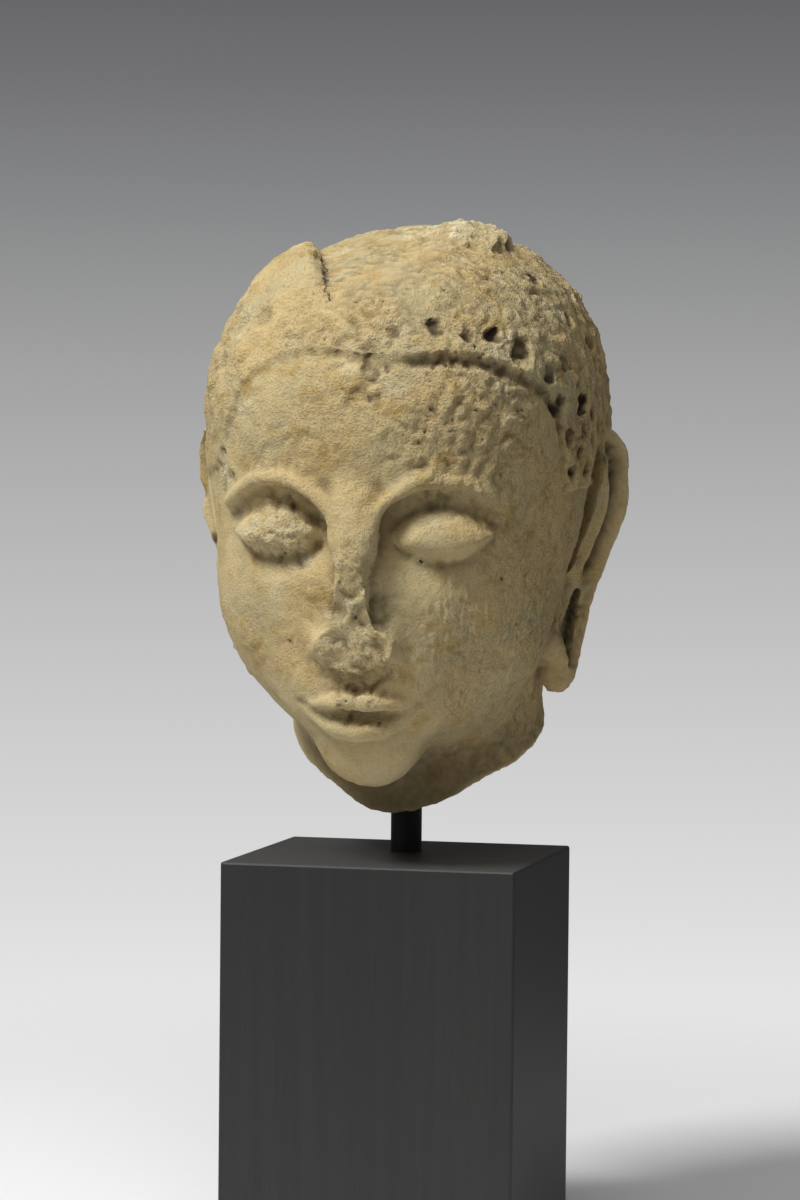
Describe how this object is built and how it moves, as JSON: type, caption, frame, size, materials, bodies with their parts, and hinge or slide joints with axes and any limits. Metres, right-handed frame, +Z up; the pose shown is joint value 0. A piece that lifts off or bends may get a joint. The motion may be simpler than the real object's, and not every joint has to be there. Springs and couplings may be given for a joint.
{
  "type": "buddha head sculpture",
  "caption": "Weathered carved stone head of a Buddha with worn curls and long ears, broken at the nose and neck, held on a short black rod in a dark square-edged wooden block.",
  "frame": {"origin": "middle of the wooden block's underside, on the surface it stands on", "axes": "+Z up, the block's front and the face towards -Y, +X to the right of someone looking at the face"},
  "size_m": [0.183, 0.1912, 0.4189],
  "materials": {
    "carved_stone": "weathered, matte",
    "black_painted_steel": "satin black paint",
    "dark_stained_wood": "dark stain, satin"
  },
  "bodies": {
    "root": {"head": "carved_stone", "mount_rod": "black_painted_steel", "plinth_block": "dark_stained_wood"}
  },
  "joints": []
}
